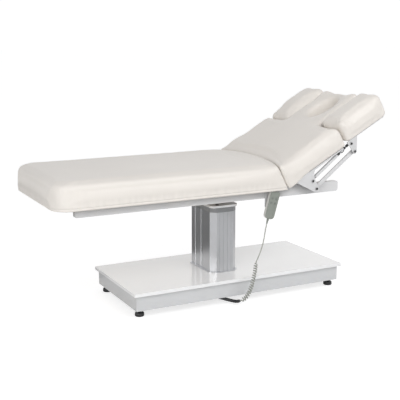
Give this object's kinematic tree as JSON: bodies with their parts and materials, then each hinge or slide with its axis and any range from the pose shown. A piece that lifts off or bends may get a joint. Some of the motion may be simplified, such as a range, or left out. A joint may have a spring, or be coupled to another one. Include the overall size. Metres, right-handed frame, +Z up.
{
  "type": "facial treatment bed",
  "caption": "Padded spa bed on an electric lifting column and box base, with a tilting back section with a face opening, two drop-down armrests and a corded handset.",
  "frame": {"origin": "on the floor, under the middle of the bed's outline", "axes": "+X towards the head end, +Z up, -Y towards the side where the handset hangs"},
  "size_m": [1.9203, 0.722, 1.0784],
  "materials": {
    "lacquer": "gloss",
    "white_paint": "satin",
    "steel": "satin",
    "aluminium": "satin",
    "drive_housing": "matte",
    "black_plastic": "matte",
    "column_cap": "satin",
    "plywood": "matte",
    "leatherette": "satin",
    "handset_grey": "matte",
    "handset_white": "satin",
    "cord_grey": "matte",
    "keys": "matte"
  },
  "bodies": {
    "base": {"base_top_plate": "lacquer", "base_skirt": "lacquer", "base_cross_tube_foot": "steel", "base_cross_tube_head": "steel", "levelling_foot_near_foot": "black_plastic", "levelling_foot_far_foot": "black_plastic", "levelling_foot_near_head": "black_plastic", "levelling_foot_far_head": "black_plastic", "control_box": "black_plastic", "mains_inlet": "black_plastic", "cord_gland": "black_plastic", "column_outer": "aluminium", "column_cap_ring": "column_cap", "lift_drive": "drive_housing", "handset_cord_tail": "cord_grey"},
    "column_stage": {"column_middle": "aluminium"},
    "chassis": {"column_inner": "aluminium", "lift_push_tube": "steel", "column_top_flange": "white_paint", "column_saddle": "white_paint", "cross_beam_foot": "white_paint", "cross_beam_head": "white_paint", "side_rail_near": "white_paint", "side_rail_far": "white_paint", "hinge_bracket_near": "steel", "hinge_bracket_far": "steel", "back_stop_bar": "white_paint", "leg_board": "plywood", "leg_cushion": "leatherette", "leg_cushion_fold": "leatherette", "actuator_bracket": "steel", "handset_hanger": "white_paint", "handset_front": "handset_grey", "handset_back": "handset_white", "handset_relief": "handset_grey", "handset_cord_straight": "cord_grey", "handset_cord_coil": "cord_grey"},
    "back": {"back_hinge_tube": "steel", "back_rail_near": "white_paint", "back_rail_far": "white_paint", "back_board": "plywood", "back_cushion": "leatherette", "actuator_lever": "steel", "linkage_plate_near": "white_paint", "linkage_plate_far": "white_paint"},
    "actuator_body": {"back_actuator_housing": "black_plastic"},
    "actuator_shaft": {"back_actuator_rod": "steel"},
    "arm_swing_near": {"arm_link_near": "white_paint"},
    "arm_strut_near": {"arm_gas_strut_near": "steel"},
    "armrest_near": {"arm_bracket_near": "white_paint", "armrest_cushion_near": "leatherette"},
    "arm_swing_far": {"arm_link_far": "white_paint"},
    "arm_strut_far": {"arm_gas_strut_far": "steel"},
    "armrest_far": {"arm_bracket_far": "white_paint", "armrest_cushion_far": "leatherette"},
    "key_bed_up": {"button_bed_up": "keys"},
    "key_back_up": {"button_back_up": "keys"},
    "key_bed_down": {"button_bed_down": "keys"},
    "key_back_down": {"button_back_down": "keys"}
  },
  "joints": [
    {"name": "lift", "type": "slide", "parent": "base", "child": "chassis", "axis": [0, 0, 1], "range_m": [0, 0.25]},
    {"name": "lift_stage", "type": "slide", "parent": "base", "child": "column_stage", "axis": [0, 0, 1], "range_m": [0, 0.125]},
    {"name": "back_tilt", "type": "hinge", "parent": "chassis", "child": "back", "pos_m": [0.321, 0, 0.607], "axis": [0, -1, 0], "range_deg": [-28, 32], "deforming": ["leg_cushion_fold"]},
    {"name": "actuator_swing", "type": "hinge", "parent": "chassis", "child": "actuator_body", "pos_m": [0, 0.18, 0.53], "axis": [0, -1, 0], "range_deg": [-2.7, 3.1]},
    {"name": "actuator_stroke", "type": "slide", "parent": "actuator_body", "child": "actuator_shaft", "axis": [1, 0, -0.0067], "range_m": [-0.038, 0.043]},
    {"name": "armrest_drop_near", "type": "hinge", "parent": "back", "child": "arm_swing_near", "pos_m": [0.49139, -0.334, 0.59114], "axis": [0, 1, 0], "range_deg": [0, 35]},
    {"name": "strut_swing_near", "type": "hinge", "parent": "back", "child": "arm_strut_near", "pos_m": [0.46568, -0.334, 0.63523], "axis": [0, 1, 0], "range_deg": [0, 35]},
    {"name": "armrest_level_near", "type": "hinge", "parent": "arm_swing_near", "child": "armrest_near", "pos_m": [0.7368, -0.334, 0.77712], "axis": [0, 1, 0], "range_deg": [-35, 0]},
    {"name": "armrest_drop_far", "type": "hinge", "parent": "back", "child": "arm_swing_far", "pos_m": [0.49139, 0.334, 0.59114], "axis": [0, 1, 0], "range_deg": [0, 35]},
    {"name": "strut_swing_far", "type": "hinge", "parent": "back", "child": "arm_strut_far", "pos_m": [0.46568, 0.334, 0.63523], "axis": [0, 1, 0], "range_deg": [0, 35]},
    {"name": "armrest_level_far", "type": "hinge", "parent": "arm_swing_far", "child": "armrest_far", "pos_m": [0.7368, 0.334, 0.77712], "axis": [0, 1, 0], "range_deg": [-35, 0]},
    {"name": "press_bed_up", "type": "slide", "parent": "chassis", "child": "key_bed_up", "axis": [0, 1, 0], "range_m": [0, 0.001], "stiffness_N_per_m": 400},
    {"name": "press_back_up", "type": "slide", "parent": "chassis", "child": "key_back_up", "axis": [0, 1, 0], "range_m": [0, 0.001], "stiffness_N_per_m": 400},
    {"name": "press_bed_down", "type": "slide", "parent": "chassis", "child": "key_bed_down", "axis": [0, 1, 0], "range_m": [0, 0.001], "stiffness_N_per_m": 400},
    {"name": "press_back_down", "type": "slide", "parent": "chassis", "child": "key_back_down", "axis": [0, 1, 0], "range_m": [0, 0.001], "stiffness_N_per_m": 400}
  ],
  "couplings": [
    {"joint": "lift_stage", "follows": "lift", "ratio": 0.5},
    {"joint": "actuator_swing", "follows": "back_tilt", "ratio": 0.09238},
    {"joint": "actuator_stroke", "follows": "back_tilt", "m_per_rad": 0.07599},
    {"joint": "strut_swing_near", "follows": "armrest_drop_near", "ratio": 1},
    {"joint": "armrest_level_near", "follows": "armrest_drop_near", "ratio": -1},
    {"joint": "strut_swing_far", "follows": "armrest_drop_far", "ratio": 1},
    {"joint": "armrest_level_far", "follows": "armrest_drop_far", "ratio": -1}
  ]
}
